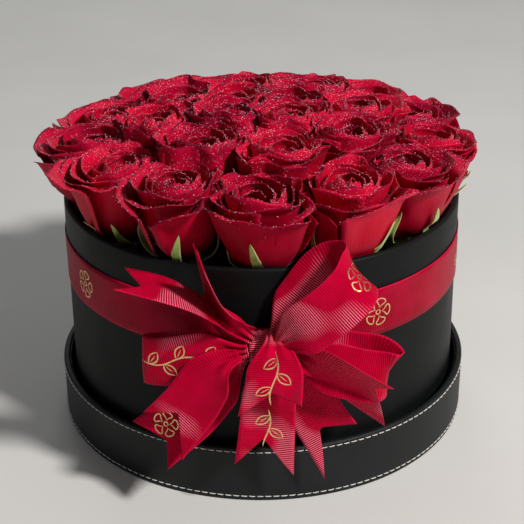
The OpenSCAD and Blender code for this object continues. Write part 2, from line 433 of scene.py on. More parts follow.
def sepal_green():
    """Leaf green with a pale, slightly red margin; U is across the sepal and V along it."""
    look = Look("sepal_green", Roughness=0.5, Sheen_Weight=0.1)
    across, along, _ = look.axes()
    blotch = look.noise(160, 3, 0.6)
    green = look.ramp(blotch, (0.3, (0.20, 0.40, 0.05)), (0.7, (0.44, 0.64, 0.15)))
    pale = look.mix(look.map_range(along, 0.45, 1.0, 0.0, 0.7), (0.66, 0.72, 0.34), (0.50, 0.16, 0.09))
    margin = look.map_range(look.off_middle(across), 0.33, 0.47, 0.0, 0.9)
    return look.finished(look.mix(margin, green, pale), look.bump(blotch, 0.0003, 0.5))


def wet_foam():
    look = Look("wet_foam", Roughness=0.8)
    # The greens are kept very dark, painted shade under the blooms; the pores are darker still, painted shade
    # in their hollows.
    pore = look.cells(900)
    soak = look.map_range(look.noise(30, 3), 0.3, 0.7)
    green = look.mix(soak, (0.008, 0.030, 0.014), (0.016, 0.055, 0.026))
    colour = look.mix(look.map_range(pore, 0.0, 0.5, 0.7, 0.0), green, (0.003, 0.010, 0.005))
    return look.finished(colour, look.bump(pore, 0.0004, 0.9))


# ---- Leatherette walls ----

# The cover's lapped join down the back: its place and half its width in radians, and its height
SEAM_AT = math.radians(97)
SEAM_HALF = 0.045
SEAM_H = 0.18 * MM
# The thread of a row presses a groove into the cover
GROOVE_DEPTH = 0.22 * MM
GROOVE_HALF = 0.7 * MM
STITCH_LENGTH = 3.9 * MM
STITCH_T = 0.34 * MM


def wall_profile(outer_r, foot_z, rim_z, turn_in, grooves):
    """The cover of one wall: up the outside, over a rounded rim, down the inside, and back under itself."""
    inner_r = outer_r - WALL_T
    bend = WALL_T * 0.42
    outside = np.linspace(foot_z + 0.6 * MM, rim_z - bend, 90)
    dent = sum(GROOVE_DEPTH * np.exp(-((outside - z) / GROOVE_HALF) ** 2) for z in grooves)
    hem_z = rim_z - turn_in
    return np.concatenate([
        joined(outer_r - dent, outside),
        arc_points((outer_r - bend, rim_z - bend), bend, 8, 90),
        arc_points((inner_r + bend, rim_z - bend), bend, 90, 172),
        joined(inner_r, np.linspace(rim_z - bend, hem_z, 12)),
        [(inner_r + 0.15 * MM, hem_z - 0.3 * MM), (inner_r + COVER_T, hem_z)],
        [(inner_r + COVER_T, rim_z - bend), (outer_r - COVER_T, rim_z - bend)],
        [(outer_r - COVER_T, foot_z), (outer_r - 0.6 * MM, foot_z), (outer_r - 0.15 * MM, foot_z + 0.2 * MM)],
    ])


def seam_wobble(angle, z):
    """The lapped join, and a hand-wrapped unevenness too small to see except in a gloss."""
    off = np.abs((angle - SEAM_AT + math.pi) % TURN - math.pi)
    edge = smoothstep(1 - (off - SEAM_HALF) / 0.004)
    wave = 0.05 * MM * (np.sin(5 * angle + 40 * z) + np.sin(11 * angle - 70 * z))
    return edge * SEAM_H + wave


def leather_wall(node, outer_r, foot_z, rim_z, turn_in, grooves, body, material):
    grid, uv = lathe(wall_profile(outer_r, foot_z, rim_z, turn_in, grooves), 360, seam_wobble)
    turned(grid, uv, f"{node}_shell", material, body, node, "black_leatherette")


def stitch_row(node, radius, z, side, material, slot):
    """Thread stitches whose ends dive into the cover; side is 1 outside the wall and -1 inside."""
    made = Builder()
    along = np.linspace(-1, 1, 9)
    rise = np.sqrt(np.clip(1 - np.abs(along) ** 3.2, 0, 1))
    body_r = STITCH_T * (0.35 + 0.65 * rise)[:, None]
    lift = side * STITCH_T * (rise * 0.95 - 0.35)[:, None]
    tangent = along[:, None] * STITCH_LENGTH / 2
    around = np.linspace(0, TURN, 8, endpoint=False)
    r = radius + lift + side * body_r * np.cos(around)
    for i in range(STITCH_COUNT):
        slant = 0.05 * math.sin(i * 12.9)
        h = z + tangent * slant + body_r * np.sin(around)
        a = TURN * i / STITCH_COUNT
        x = r * math.cos(a) - tangent * math.sin(a)
        y = r * math.sin(a) + tangent * math.cos(a)
        made.add_grid(joined(x, y, h), joined(along[:, None] + 2 * i, around / TURN), wrap_v=True)
    made.build(f"{node}_thread", material, "lid", node, slot)


# ---- Ribbon ----

RIBBON_T = 0.42 * MM
# Spacing of the ribbon's points along it
RIBBON_STEP = 1.3 * MM
# The ribbon opens from its gathered end over this length; gathered, it is this share of its width
GATHER_REACH = 26 * MM
GATHERED_SHARE = 0.26
PLEAT = 1.4 * MM
FOIL_T = 0.06 * MM
# A foil sprig: its stem's wave and period, and its leaves' spacing and size
SPRIG_WAVE = 1.6 * MM
SPRIG_PERIOD = 34 * MM
LEAF_SPACING = 8.5 * MM
LEAF_SIZE = 9.5 * MM


class Strip:
    """A length of ribbon along a smooth line through rows of LOOPS or TAILS."""

    def __init__(self, line, loop=False, swell=1.0, cup=0.0, notch=0.0, peak=0.0, skew=0.0):
        points, widths = np.hsplit(np.array(line, float) * (1, -1, 1, 1, -1, 1), 2)
        self.centres = (np.array(KNOT) / MM + points) * MM
        self.widths = unit(widths)
        self.loop, self.swell, self.cup = loop, swell, cup
        self.notch, self.peak, self.skew = notch, peak, skew
        self.run = run_along(spline(self.centres, np.linspace(0, 1, 400)))
        self.length = self.run[-1]
        self.end_rate = (self.run[-1] - self.run[-2]) * (len(self.run) - 1)

    def at(self, across, along):
        """Points of the ribbon; across runs from -1 to 1 and along from 0 to the length, in metres."""
        across, along = np.broadcast_arrays(np.asarray(across, float), np.asarray(along, float))
        place = np.interp(along, self.run, np.linspace(0, 1, len(self.run)))
        place = place + np.clip(along - self.length, 0, None) / self.end_rate
        centre, width = spline(self.centres, place), unit(spline(self.widths, place))
        ahead = unit(spline(self.centres, place + 0.01) - spline(self.centres, np.maximum(place - 0.01, 0.0)))
        width = unit(width - ahead * (width * ahead).sum(-1, keepdims=True))
        face = np.cross(width, ahead)
        openness = smoothstep(along / GATHER_REACH)
        if self.loop:
            openness = np.minimum(openness, smoothstep((self.length - along) / GATHER_REACH))
        half = RIBBON_W / 2 * (GATHERED_SHARE + (1 - GATHERED_SHARE) * openness)
        half = half * (1 + (self.swell - 1) * (along / self.length) ** 2)
        fold = PLEAT * (1 - openness) * np.cos(2.5 * math.pi * across)
        bow = self.cup * MM * (1 - across ** 2) * openness
        return centre + width * (half * across)[..., None] + face * (fold + bow)[..., None]

    def piece(self, name, material):
        count = max(12, int(self.length / RIBBON_STEP))
        across = np.linspace(-1, 1, 17)[:, None]
        share = np.linspace(0, 1, count)[None, :]
        depth = np.where(across < self.peak, (1 + across) / (1 + self.peak), (1 - across) / (1 - self.peak))
        along = share * (self.length - self.notch * depth + self.skew / 2 * across)
        made = Builder()
        made.add_shell(self.at(across, along), joined((across + 1) / 2, along / RIBBON_W), RIBBON_T)
        return made.build(f"{name}_ribbon", material, "drum", name, "red_ribbon")

    def cut(self):
        return {"flat": (RIBBON_W, self.length), "area": RIBBON_W * (self.length - self.notch / 2)}

    def face_surface(self, side):
        """A surface a hair off one face of the ribbon, for what is printed on it."""

        def at(across, along):
            share = across / (RIBBON_W / 2)
            here = self.at(share, along)
            ahead = self.at(share, along + 0.5 * MM) - here
            aside = self.at(share + 0.02, along) - here
            return here + unit(np.cross(aside, ahead)) * side * 0.27 * MM

        return at


def foil_print(name, material, surface, motif, *how):
    """A motif in foil, in flat lines of (across, along) metres on the ribbon laid flat."""
    made = Builder()

    def draw(line, width):
        ahead = unit(np.gradient(line, axis=0))
        side = np.stack([-ahead[:, 1], ahead[:, 0]], axis=1)
        taper = np.sqrt(np.clip(1 - np.abs(np.linspace(-1, 1, len(line))) ** 6, 0.05, 1))[:, None]
        flat = np.stack([line + side * taper * width * k for k in (-0.5, 0.5)], axis=0)
        made.add_shell(surface(flat[..., 0], flat[..., 1]), flat / RIBBON_W, FOIL_T)

    motif(draw, *how)
    return made.build(name, material, "drum", None, "red_ribbon", smooth=False)


def blossom(draw, centre, size, spin):
    """A small open flower: five loops round a small ring."""
    t = np.linspace(0, 1, 15)
    for k in range(5):
        a = np.radians(spin + 72 * k) + np.radians(30) * np.sin(math.pi * (2 * t - 1)) * 0.9
        x, y = polar(size * (0.30 + 0.70 * np.sin(math.pi * t) ** 0.8), a)
        draw(joined(centre[0] + x, centre[1] + y), 0.75 * MM)
    draw(arc_points(centre, size * 0.17, 0, 360, 13), 0.7 * MM)


def leaf(draw, foot, aim):
    """A leaf outline with a midrib."""
    t = np.linspace(0, 1, 9)
    ahead = np.array(polar(1, math.radians(aim)))
    side = np.array([-ahead[1], ahead[0]])
    for hand in (-1, 1):
        belly = hand * 0.27 * LEAF_SIZE * np.sin(math.pi * t) ** 0.9
        draw(foot + np.outer(t * LEAF_SIZE, ahead) + np.outer(belly, side), 0.75 * MM)
    draw(foot + np.outer(np.linspace(0.15, 0.7, 4) * LEAF_SIZE, ahead), 0.5 * MM)


def sprig(draw, start, end):
    """A waving stem down the ribbon, with leaves on alternate sides."""
    sway = lambda along: SPRIG_WAVE * np.sin((along - start) * TURN / SPRIG_PERIOD)
    along = np.linspace(start, end, max(8, int((end - start) / (2 * MM))))
    draw(joined(sway(along), along), 0.8 * MM)
    for k in range(int((end - start) / LEAF_SPACING)):
        y = start + (k + 0.5) * LEAF_SPACING
        hand = 1 if k % 2 else -1
        leaf(draw, np.array([sway(y), y]), 90 - hand * 52)


# ---- Roses ----

# How a petal rises from its foot to below its lip, by its place in the bloom (0 at the heart, 1
# outermost): (distance from the bloom's axis, height above the bloom's mouth), in millimetres
PETAL_RISE = {
    0.00: [(1, -46), (3, -30), (4.0, -20), (4.7, -12), (4.2, -5), (1.0, -1.0)],
    0.20: [(2, -47), (6, -31), (8.6, -20), (10.0, -11), (9.8, -4), (5.6, 0.6)],
    0.45: [(3, -48), (9, -32), (12.8, -20), (15.0, -11), (15.6, -3.2), (13.2, 2.4)],
    0.70: [(4, -50), (12, -36), (17, -22), (20.0, -11), (21.4, -2.5), (20.4, 3.4)],
    0.85: [(4.5, -51), (16.0, -40), (21.2, -26), (23.6, -13), (25.2, -3.4), (26.0, 2.4)],
    1.00: [(5, -52), (18.0, -43), (23.8, -30), (26.2, -17), (28.4, -6), (31.0, -0.5)],
}
PETAL_STAGES = (0.0, 0.45, 0.7, 1.0)
LIP_OUT = (0.0, 0.3, 2.8, 5.6)
LIP_DOWN = (0.0, 0.0, 0.9, 2.6)
HALF_BREADTH = (108, 86, 72, 60)
PETAL_COUNT = 18
PETAL_T = 0.38 * MM
GOLDEN_ANGLE = 137.5
# In a bloom's own axes, the way out of the ring
OUTWARD = -math.pi / 2
# Blooms nearer than this press on each other; the pressing sets in over PRESS_SOFT
NEIGHBOUR_REACH = 75 * MM
PRESS_SOFT = 6 * MM
PRESS_GAP = 0.4 * MM


def rise_of(place):
    low = max(k for k in PETAL_RISE if k <= place)
    high = min(k for k in PETAL_RISE if k >= place)
    share = 0 if high == low else (place - low) / (high - low)
    return np.array(PETAL_RISE[low]) * (1 - share) + np.array(PETAL_RISE[high]) * share


def petal_grid(place, aim, flare, heart, shift, pick):
    """One petal round the bloom's axis, in millimetres, with the mouth at Z = 0; and its UV."""
    u = np.linspace(-1, 1, 23)[:, None]
    v = np.linspace(0, 1, 19)[None, :]
    fall = pick(0.07, 0.16) + place ** 3 * pick(0.0, 0.14)
    reach = 1 - fall * np.abs(u) ** 1.5
    rise = spline(rise_of(place), v * reach)
    r, z = rise[..., 0], rise[..., 1]
    stage = lambda values: np.interp(place, PETAL_STAGES, values)
    spread = math.radians(stage(HALF_BREADTH) * pick(0.90, 1.08))
    angle = aim + spread * u * (0.72 + 0.28 * smoothstep(v * 1.7))
    lip = smoothstep((v - 0.80) / 0.20)
    bared = place ** 2 * pick(0.0, 0.32)
    margin = smoothstep((np.abs(u) - 0.80 + bared) / (0.20 + bared)) * smoothstep(v / 0.7)
    roll = np.maximum(lip, (0.75 + 0.5 * bared) * margin)
    tip = np.exp(-np.abs(u - pick(-0.15, 0.15)) / 0.10) * lip
    top = v ** 3
    waves = pick(0, TURN, 4)
    r = r + 1.1 * u + stage(LIP_OUT) * roll * pick(0.5, 1.3) + 2.4 * place * tip
    r = r + (0.3 + 1.7 * place) * top * np.sin(4.2 * u + waves[0]) + pick(-0.8, 2.0) * place * v ** 2
    r = r + flare * v ** 2 * np.clip(np.cos(angle - OUTWARD), 0, 1) * place ** 2
    for _ in range(3):
        # A soft fold that runs up the petal, a little aslant, and opens toward the lip
        crest = pick(-0.75, 0.75) + pick(-0.5, 0.5) * v
        swell = pick(-1.0, 1.5) * place ** 1.5
        r = r + swell * smoothstep(v / 0.6) * np.exp(-((u - crest) / 0.20) ** 2)
    z = z - stage(LIP_DOWN) * roll ** 2 * pick(0.3, 1.4) + 1.2 * place * tip
    z = z + (0.4 + 1.5 * place) * top * (0.6 * np.sin(3.0 * u + waves[1]) + 0.4 * np.sin(9.5 * u + waves[2]))
    z = z + pick(-1.6, 1.6) * top + heart * (1 - place) ** 2
    aside = (1 - place) ** 1.2 * smoothstep(v * 1.6)
    x, y = polar(r, angle)
    return joined(x + shift[0] * aside, y + shift[1] * aside, z), joined((u + 1) / 2, v)


def rose_places():
    """Each bloom's stand (mouth and three directions) and a point inside it, outer ring first."""
    places = []
    for count, ring_r, mouth_z, lean, first in RINGS:
        for i in range(count):
            a = math.radians(first + 360 * i / count)
            tilt = math.radians(lean)
            out = np.array([math.cos(a), math.sin(a), 0.0])
            axis = out * math.sin(tilt) + np.array([0, 0, math.cos(tilt)])
            drop = CROWN_FALL * (RINGS[0][1] + ring_r * math.sin(a))
            mouth = out * ring_r + np.array([0, 0, mouth_z - drop])
            places.append(((mouth, *frame_of(axis), axis), mouth - axis * 16 * MM))
    return places


def press(points, here, places):
    """Keeps a bloom on its own side of the wavy border it shares with each neighbour."""
    middle = places[here][1]
    for there, (_, other) in enumerate(places):
        apart = other - middle
        distance = np.linalg.norm(apart)
        if there == here or distance > NEIGHBOUR_REACH:
            continue
        normal = apart / distance
        first, second = min(here, there), max(here, there)
        side = 1 if here == first else -1
        along = points @ np.cross(normal * side, [0, 0, 1])
        height = points[..., 2] - middle[2]
        phase = first * 2.3 + second * 1.1
        border = 3.0 * MM * np.sin(along * TURN / (25 * MM) + phase)
        border = border + 3.4 * MM * np.sin(height * TURN / (46 * MM) + 2 * phase)
        over = (points - (middle + other) / 2) @ normal - side * border + PRESS_GAP
        eased = -PRESS_SOFT * np.exp(-np.clip(over + PRESS_SOFT, 0, None) / PRESS_SOFT)
        held = np.where(over > -PRESS_SOFT, eased, over)
        points = points + (held - over)[..., None] * normal
    return points


def draw_in(points):
    """Keeps the widest lips from spreading further than they do on the real box."""
    r = np.linalg.norm(points[..., :2], axis=-1)
    widest = (WIDEST_RIGHT + WIDEST_LEFT) / 2 + (WIDEST_RIGHT - WIDEST_LEFT) / 2 * points[..., 0] / r
    over = np.clip(r - (widest - PRESS_SOFT), 0, None)
    held = r - over + PRESS_SOFT * (1 - np.exp(-over / PRESS_SOFT))
    return points * joined(held / r, held / r, 1)


def hold_inside(points):
    """Keeps points below the drum's rim inside its wall; above it they may spread at a slant."""
    r = np.linalg.norm(points[..., :2], axis=-1)
    widest = DRUM_R - WALL_T - 1.2 * MM + 1.1 * np.clip(points[..., 2] - RIM_Z, 0, None)
    keep = np.minimum(1, widest / np.maximum(r, MM))
    return points * joined(keep, keep, 1)


def frame_of(axis):
    """Two directions square to an axis, the first lying level."""
    first = unit(np.cross([0.0, 0.0, 1.0], axis))
    return first, np.cross(axis, first)


def carried(grid, stand):
    """Points given along three directions from a foot, which make up stand."""
    foot, side, fore, axis = stand
    return foot + grid[..., :1] * side + grid[..., 1:2] * fore + grid[..., 2:] * axis


def add_rose(here, places, material, dust_spots):
    stand = places[here][0]
    rng = np.random.default_rng(100 + here)
    size = rng.uniform(0.97, 1.05)
    turn = rng.uniform(0, TURN)
    heart = rng.uniform(-5.0, 3.0)
    # The heart sits off the middle, mostly toward the front right of the box
    toward = math.radians(rng.uniform(-125, 35))
    away = rng.uniform(3.0, 8.5)
    shift = [away * (math.cos(toward) * way[0] + math.sin(toward) * way[1]) for way in stand[1:3]]
    made = Builder()

    for i in range(PETAL_COUNT):
        place = (max(0, i - 1) / (PETAL_COUNT - 2)) ** 0.72
        aim = turn + math.radians(GOLDEN_ANGLE * i + rng.uniform(-9, 9))
        flare = rng.uniform(3.0, 10.0) if here < RINGS[0][0] else 0.0
        grid, uv = petal_grid(place, aim, flare, heart, shift, rng.uniform)
        world = hold_inside(draw_in(press(carried(grid * size * MM, stand), here, places)))
        uv[..., 0] += i
        made.add_shell(world, uv, PETAL_T)
        if place > 0.05:
            normal = grid_normals(world)
            up = normal * np.sign(normal[..., 2:])
            take = (uv[..., 1] > 0.58) & (np.abs(normal[..., 2]) > 0.15)
            lip = take & (uv[..., 1] > 0.93)
            for part in (take, lip):
                dust_spots.append((world[part] + up[part] * (PETAL_T / 2), up[part]))
    node = f"rose_{here + 1:02d}"
    return made.build(f"{node}_bloom", material, "insert", node, "rose_petal")


# Direction that glitter falls from, and how many flakes stay
SPRINKLED_FROM = Vector((0.25, -0.30, 1.0)).normalized()
FLAKES = 24000
# Side of a calyx: (distance from the axis, height above the foot of the bloom), in millimetres
CALYX_SIDE = [(0.4, -10), (2.6, -9.5), (5.4, -7), (7.0, -3.5), (7.4, -1), (6.4, 0.4), (0.4, 0.6)]
SEPAL_T = 0.5 * MM


def add_sepals(places, material):
    """Five sepals round the foot of each bloom; those on its outer side stand off a little."""
    made = Builder()
    across = np.linspace(-1, 1, 7)[:, None]
    along = np.linspace(0, 1, 14)[None, :]
    for here, (stand, _) in enumerate(places):
        rng = np.random.default_rng(500 + here)
        turn = rng.uniform(0, TURN)
        for k in range(5):
            aim = turn + TURN * k / 5 + rng.uniform(-0.2, 0.2)
            reach = rng.uniform(0.42, 0.60)
            curl = rng.uniform(0.0, 2.0)
            sway = rng.choice([-1, 1]) * rng.uniform(5.0, 17.0)
            v = along * reach
            rise = spline(rise_of(1.0), v)
            flare = 4.0 * v ** 2 * max(0.0, math.cos(aim - OUTWARD))
            r = rise[..., 0] * 1.04 + 1.7 + flare + curl * along ** 3 + 0.9 * across ** 2 * (1 - along)
            z = rise[..., 1] - 0.6 * (1 - along) - 0.4 * curl * along ** 4
            half = 4.3 * (1 - along) ** 0.8 * (0.7 + 1.2 * along) + 0.15
            angle = aim + (across * half + sway * along ** 1.2) / (r + 2)
            grid = joined(*polar(r, angle), z + 0.5 * np.sin(6 * along + k) * across) * MM
            world = draw_in(hold_inside(press(carried(grid, stand), here, places)))
            made.add_shell(world, joined((across + 1) / 2, along), SEPAL_T)
        profile = spline(np.array(CALYX_SIDE), np.linspace(0, 1, 16)) * MM
        profile[:, 1] -= BLOOM_H
        grid, uv = lathe(profile, 20)
        uv = uv / uv.max(axis=(0, 1))
        made.add_grid(carried(grid, stand), uv, wrap_u=True, wrap_v=True)
    made.build("sepals_and_calyxes", material, "insert", "rose_calyxes", "green_sepal")


def add_dust(dust_spots, blooms, material):
    """Small glitter flakes, sprinkled from above: they lie only where no petal is overhead."""
    rng = np.random.default_rng(7)
    spots = np.concatenate([s for s, _ in dust_spots])
    ups = np.concatenate([u for _, u in dust_spots])
    points, faces = [], []
    for bloom in blooms:
        start = len(points)
        points += [v.co.copy() for v in bloom.data.vertices]
        faces += [[start + i for i in f.vertices] for f in bloom.data.polygons]
    cover = BVHTree.FromPolygons(points, faces)
    chosen = []
    for i in rng.permutation(len(spots)):
        spot = Vector(spots[i] + ups[i] * 0.5 * MM)
        if cover.ray_cast(spot, SPRINKLED_FROM)[0] is None:
            chosen.append(i)
        if len(chosen) == FLAKES:
            break
    made = Builder()
    corners = np.radians([90, 210, 330])
    flake = np.array([(*polar(1, t), z) for z in (-0.25, 0.25) for t in corners])
    faces = [(2, 1, 0), (3, 4, 5)]
    for i, j in ((0, 1), (1, 2), (2, 0)):
        faces += [(i, j, j + 3), (i, j + 3, i + 3)]
    for spot, up in zip(spots[chosen], ups[chosen]):
        lean = unit(up + rng.normal(0, 0.5, 3))
        side, fore = frame_of(lean)
        spin = rng.uniform(0, math.pi)
        a = side * math.cos(spin) + fore * math.sin(spin)
        size = rng.uniform(0.16, 0.38) * MM
        jitter = (side * rng.normal() + fore * rng.normal()) * 0.6 * MM
        stand = (spot + up * 0.12 * MM + jitter, a, np.cross(lean, a), lean)
        made.add(carried(size * flake, stand), faces, np.zeros((6, 2)))
    made.build("glitter_on_petals", material, "insert", None, "rose_petal", smooth=False)


# ---- Bow ----

# The bow's ribbons, each from the knot outward. A row gives (right, forward, up) from the middle
# of the knot in millimetres, and then the way the ribbon's width runs there.
LOOPS = {
    "bow_loop_upper": [
        (3, 3, 5, 3, 4, -6), (22, -1, 31, 14, 9, -22), (32, -1, 45, 15, 8, -22), (41, 2, 51, 16, 8, -23),
        (49, 10, 53, 17, 7, -22), (47, 22, 48, 16, 4, -21), (35, 27, 37, 13, 3, -25),
        (20, 25, 24, 9, 3, -24), (5, 13, 7, 3, 3, -7),
    ],
    "bow_loop_right": [
        (9, 3, 2, 0, 2, -7), (29, 1, -4, 1, 12, -20), (48, 0, -7, 2, 6, -28), (62, 2, -8, -3, 4, -28),
        (69, 8, -12, -9, 3, -27), (60, 14, -12, -6, 8, -25), (40, 15, -7, -3, 9, -23),
        (13, 11, 2, -1, 3, -7),
    ],
    "bow_loop_left": [
        (-9, 0, -1, 0, 0, -7), (-29, -5, -7, -1, 0, -23), (-49, -6, -8, 0, 0, -31),
        (-67, -4, -8, -1, 0, -37), (-68, 0, -8, -1, 0, -37), (-57, 4, -7, -3, 0, -34),
        (-38, 8, -2, -2, 0, -24), (-10, 10, 3, 0, 0, -7),
    ],
}
TAILS = {
    # name: (line, depth of the notch, where across the ribbon it peaks, how much longer the far side is)
    "bow_tail_high_left": ([
        (-12, 5, 12, 2, 0, -13), (-27, 6, 24, 3, 30, 0), (-50, 9, 39, 7, 29, -2), (-79, 9, 48, -2, 26, 3),
    ], 13, 0.1, 4),
    "bow_tail_upright": ([
        (-8, 6, 7, -6, 0, -12), (-20, 8, 17, -7, -15, -25), (-27, 7, 29, -3, -20, -22),
        (-34, 6, 50, -2, -25, -16), (-38, 5, 65, -2, -27, -14),
    ], 16, 0, -8),
    "bow_tail_low_left": ([
        (-15, 13, 2, 9, 0, -5), (-28, 16, -4, 20, 12, -6), (-42, 18, -26, 25, 9, -17),
        (-59, 18, -47, 23, 12, -22),
    ], 17, -0.15, 5),
    "bow_tail_low_left_under": ([
        (-13, 9, -1, 8, 0, -7), (-25, 9, -15, 22, 9, -10), (-43, 9, -38, 26, 11, -20),
        (-67, 9, -59, 19, 14, -23),
    ], 10, 0.2, 0),
    "bow_tail_centre": ([
        (4, 9, 13, 11, 0, -2), (5, 22, 8, 25, 0, 0), (4, 26, -9, 32, 0, 0), (2, 25, -27, 33, 0, 6),
    ], 12, 0, -10),
    "bow_tail_centre_under": ([
        (-1, 13, 2, 10, 0, 0), (1, 14, -26, 23, 0, 0), (-2, 13, -74, 38, 0, -3),
    ], 21, -0.1, 6),
    "bow_tail_low_right": ([
        (10, 10, 3, 7, 0, 5), (22, 9, -28, 23, 0, 9), (43, 8, -65, 34, 0, 14),
    ], 23, -0.2, -24),
    "bow_tail_right": ([
        (13, 14, 7, 2, 0, 6), (32, 24, 0, 10, 15, 24), (68, 20, -28, 9, 15, 24),
    ], 12, 0.45, -23),
}

# Gold prints: which ribbon, and (across, along, what, size or end, which face), in millimetres
PRINTS = {
    "bow_loop_upper": (1, 79, blossom, 8.5, -1),
    "bow_loop_right": (0, 92, sprig, 122, -1),
    "bow_loop_left": (0, 64, sprig, 116, 1),
    "bow_tail_centre": (0, 13, sprig, 50, -1),
    "bow_tail_centre_under": (0, 35, sprig, 60, -1),
    "bow_tail_low_left_under": (-4, 64, blossom, 7, -1),
}


def decorate(name, strip, foil):
    if name not in PRINTS:
        return []
    across, along, motif, extent, side = PRINTS[name]
    how = along * MM, min(extent * MM, strip.length - 4 * MM)
    if motif is blossom:
        how = (across * MM, along * MM), extent * MM, 18
    return [foil_print(f"{name}_print_1", foil, strip.face_surface(side), motif, *how)]


def make_bow(ribbon, foil):
    strips = {name: Strip(line, loop=True, cup=0.6) for name, line in LOOPS.items()}
    for name, (line, notch, peak, longer) in TAILS.items():
        strips[name] = Strip(line, swell=1.15, cup=0.8, notch=notch * MM, peak=peak, skew=longer * MM)
    for name, strip in strips.items():
        piece = strip.piece(name, ribbon)
        prints = decorate(name, strip, foil)
        strip.cut()


# ---- Band and knot ----

# The band is drawn together behind the knot: by what share, and how far along it
PINCH = 0.62
PINCH_REACH = 24 * MM
BAND_T = 0.45 * MM
# The end of the band overlaps its start behind the knot, and climbs onto it over BAND_CLIMB
BAND_LAP = 18 * MM
BAND_CLIMB = 6 * MM
# Places for blossoms and sprigs by turns; the one behind the bow stays empty. The first is this many
# degrees right of the front.
BAND_PRINTS = 8
BAND_PRINT_FIRST = 32
# How far the ribbon runs round the knot
KNOT_TURN = TURN * 1.08


def band_surface(lift):
    """The band wrapped round the drum: across from its middle, along from the front going right."""

    def at(across, along):
        off_knot = (along - KNOT.x + math.pi * BAND_R) % (TURN * BAND_R) - math.pi * BAND_R
        pinch = np.exp(-(off_knot / PINCH_REACH) ** 2)
        z = BAND_Z + across * (1 - PINCH * pinch) + (KNOT.z - BAND_Z) * pinch
        return joined(*polar(BAND_R + lift, along / BAND_R - math.pi / 2), z)

    return at


def make_band(ribbon, foil):
    made = Builder()
    across = np.linspace(-0.5, 0.5, 9)[:, None] * RIBBON_W
    length = TURN * BAND_R
    along = np.linspace(0, length + BAND_LAP, 420)[None, :]
    over = smoothstep((along - length + BAND_CLIMB) / BAND_CLIMB) * 0.55 * MM
    ripple = 0.10 * MM * np.sin(along * TURN / (60 * MM)) * np.sin(across / RIBBON_W * math.pi)
    grid = band_surface(-0.35 * MM)(across, along)
    grid = grid + unit(grid * (1, 1, 0)) * (over + ripple)[..., None]
    made.add_shell(grid, joined(across / RIBBON_W + 0.5, along / RIBBON_W), BAND_T)
    band = made.build("ribbon_band_wrap", ribbon, "drum", "ribbon_band", "red_ribbon")
    for k in range(BAND_PRINTS - 1):
        along = BAND_R * math.radians(BAND_PRINT_FIRST + 360 / BAND_PRINTS * k)
        if k % 2 == 0:
            motif, how = blossom, ((0.0, along), 8.6 * MM, 90)
        else:
            motif, how = sprig, (along - 13 * MM, along + 13 * MM)
        foil_print(f"band_print_{k + 1}", foil, band_surface(0.05 * MM), motif, *how)


def make_knot(ribbon):
    """The wrap that holds the bow: a short gathered length of ribbon rolled round its middle."""
    made = Builder()
    low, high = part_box("bow_knot")
    half = (high.x - low.x) / 2
    radius = (high.z - low.z) / 2
    across = np.linspace(-1, 1, 23)[:, None]
    around = np.linspace(0, KNOT_TURN, 56)[None, :]
    bulge = radius * (0.86 + 0.10 * np.cos(across * math.pi / 2) + 0.05 * np.cos(across * 5 * math.pi))
    bulge = bulge + 0.6 * MM * (around / TURN) + 0.3 * MM * np.sin(3 * around + 4 * across)
    forward, up = polar(bulge, around)
    grid = joined(KNOT.x + half * across * 0.97, KNOT.y - forward, KNOT.z + up)
    made.add_shell(grid, joined((across + 1) / 2, around * radius / RIBBON_W), RIBBON_T)
    piece = made.build("bow_knot_wrap", ribbon, "drum", "bow_knot", "red_ribbon")


# ---- Liner, foam and stems ----

POT_T = 0.8 * MM
STEM_R = 2.4 * MM


def make_pot(material):
    r, foot, top = round_size("liner_pot")
    ribs = lambda angle, z: 0.25 * MM * np.sin(72 * angle) * (z < top - 6 * MM)
    profile = [(0.5 * MM, foot), (r - 3 * MM, foot), (r - 0.6 * MM, foot + 1.5 * MM)]
    profile += [(r - 0.3 * MM, foot + 5 * MM)]
    profile += [(r - 0.3 * MM, z) for z in np.linspace(foot + 9 * MM, top - 6 * MM, 20)]
    profile += [(r, top - 5 * MM), (r, top - 0.4 * MM), (r - POT_T / 2, top), (r - POT_T, top - 0.4 * MM)]
    profile += [(r - POT_T, z) for z in np.linspace(top - 5 * MM, foot + 3 * MM, 20)]
    profile += [(r - 3 * MM, foot + POT_T), (0.5 * MM, foot + POT_T)]
    turned(*lathe(profile, 288, ribs), "liner_pot_shell", material, "insert", "liner_pot", "pot_plastic")


def make_foam(material):
    r, foot, top = round_size("floral_foam")
    profile = [(0.5 * MM, foot)] + [(x, foot) for x in np.linspace(10 * MM, r - 2 * MM, 12)]
    profile += [(r, z) for z in np.linspace(foot + 2 * MM, top - 4 * MM, 30)]
    profile += [(x, top - 0.4 * MM) for x in np.linspace(r - 3 * MM, 0.5 * MM, 60)]
    crumble = lambda angle, z: 0.5 * MM * np.sin(9 * angle + 90 * z) * (z > top - 2 * MM)
    grid, uv = lathe(profile, 240, crumble)
    bumps = 0.8 * MM * np.sin(grid[..., 0] * 310) * np.sin(grid[..., 1] * 270) - 0.8 * MM
    grid[..., 2] += np.where(grid[..., 2] > top - 1 * MM, bumps, 0)
    turned(grid, uv, "floral_foam_block", material, "insert", "floral_foam", "wet_foam")


